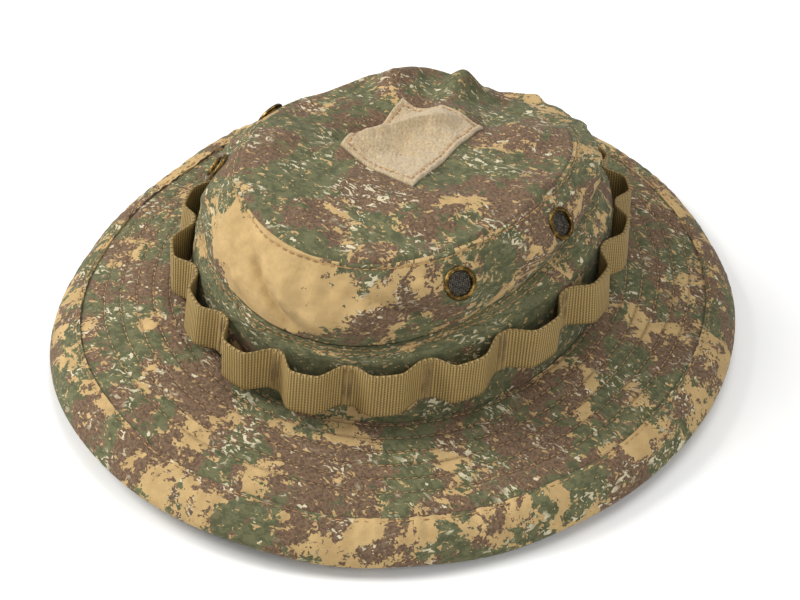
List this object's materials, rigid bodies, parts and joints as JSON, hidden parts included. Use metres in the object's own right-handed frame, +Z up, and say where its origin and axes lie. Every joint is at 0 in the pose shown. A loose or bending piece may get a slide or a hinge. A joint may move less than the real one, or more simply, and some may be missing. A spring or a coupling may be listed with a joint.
{
  "type": "boonie hat",
  "caption": "Soft wide-brimmed boonie hat with quilted brim, looped webbing band, loop panel on the crown and screened side vents.",
  "frame": {"origin": "centre of the bounding box on the surface that the brim's edge rests on", "axes": "+Z up, the wearer faces -Y, +X is the wearer's left"},
  "size_m": [0.2803, 0.3251, 0.0939],
  "materials": {
    "camo_brim": "matt printed ripstop cotton blend",
    "camo_brim_under": "matt printed ripstop cotton blend",
    "camo_binding": "matt printed ripstop cotton blend",
    "camo_band": "matt printed ripstop cotton blend",
    "camo_sidewall": "matt printed ripstop cotton blend",
    "camo_top": "matt printed ripstop cotton blend",
    "interlining": "felted stiffener",
    "seam_tape": "twill tape",
    "sweatband": "soft brushed cotton",
    "label": "woven satin tape, blank",
    "webbing": "ribbed nylon webbing, slight sheen",
    "loop_pile": "napped loop pile",
    "thread": "twisted polyester sewing thread",
    "antique_brass": "antiqued, satin",
    "screen": "black woven wire mesh"
  },
  "bodies": {
    "root": {"brim_under_ply": "camo_brim_under", "brim_interlining": "interlining", "brim_top_ply": "camo_brim", "brim_edge_binding": "camo_binding", "brim_quilting_thread": "thread", "binding_stitching": "thread", "crown_band": "camo_band", "crown_sidewall": "camo_sidewall", "crown_top_panel": "camo_top", "crown_seam_tape": "seam_tape", "sidewall_join_tape": "seam_tape", "band_stitching": "thread", "crown_top_stitching": "thread", "sweatband": "sweatband", "sweatband_stitching": "thread", "size_label": "label", "webbing_loops": "webbing", "webbing_bartacks": "thread", "loop_panel": "loop_pile", "loop_panel_stitching": "thread", "vent_eyelet_left_front": "antique_brass", "vent_eyelet_left_back": "antique_brass", "vent_eyelet_right_front": "antique_brass", "vent_eyelet_right_back": "antique_brass", "vent_washer_left_front": "antique_brass", "vent_washer_left_back": "antique_brass", "vent_washer_right_front": "antique_brass", "vent_washer_right_back": "antique_brass", "vent_screen_left_front": "screen", "vent_screen_left_back": "screen", "vent_screen_right_front": "screen", "vent_screen_right_back": "screen"}
  },
  "joints": []
}
